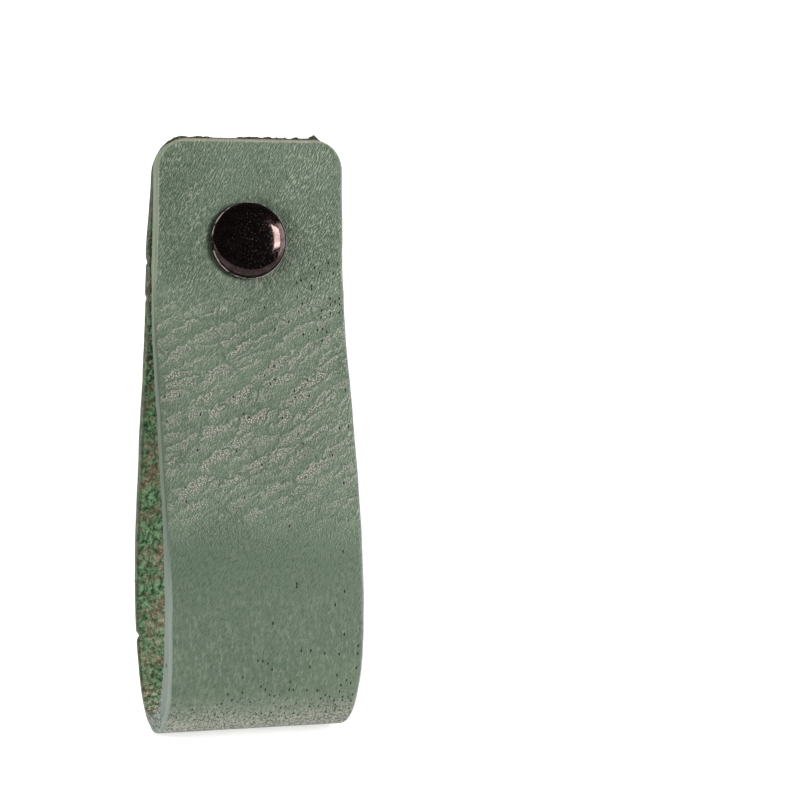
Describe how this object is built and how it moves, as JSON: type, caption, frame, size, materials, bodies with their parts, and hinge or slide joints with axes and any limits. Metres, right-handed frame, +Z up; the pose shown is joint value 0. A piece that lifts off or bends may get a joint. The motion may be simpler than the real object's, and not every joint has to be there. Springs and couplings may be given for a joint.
{
  "type": "leather strap pull",
  "caption": "Door or drawer pull: a leather strap folded into a hanging loop, its ends clamped under a domed cap nut and a screw from behind the panel.",
  "frame": {"origin": "where the screw's axis leaves the back of the strap, on the plane that lies against the panel", "axes": "+Y along the screw into the panel, so the front faces -Y; +Z up; X across the strap"},
  "size_m": [0.025, 0.0359, 0.0769],
  "materials": {
    "sage_leather": "full grain, dyed sage green, satin face with creases and pores, suede back, painted edges",
    "black_nickel": "dark nickel plate, polished",
    "zinced_steel": "bright zinc plate"
  },
  "bodies": {
    "root": {"strap": "sage_leather", "cap_nut": "black_nickel", "mounting_screw": "zinced_steel"}
  },
  "joints": []
}
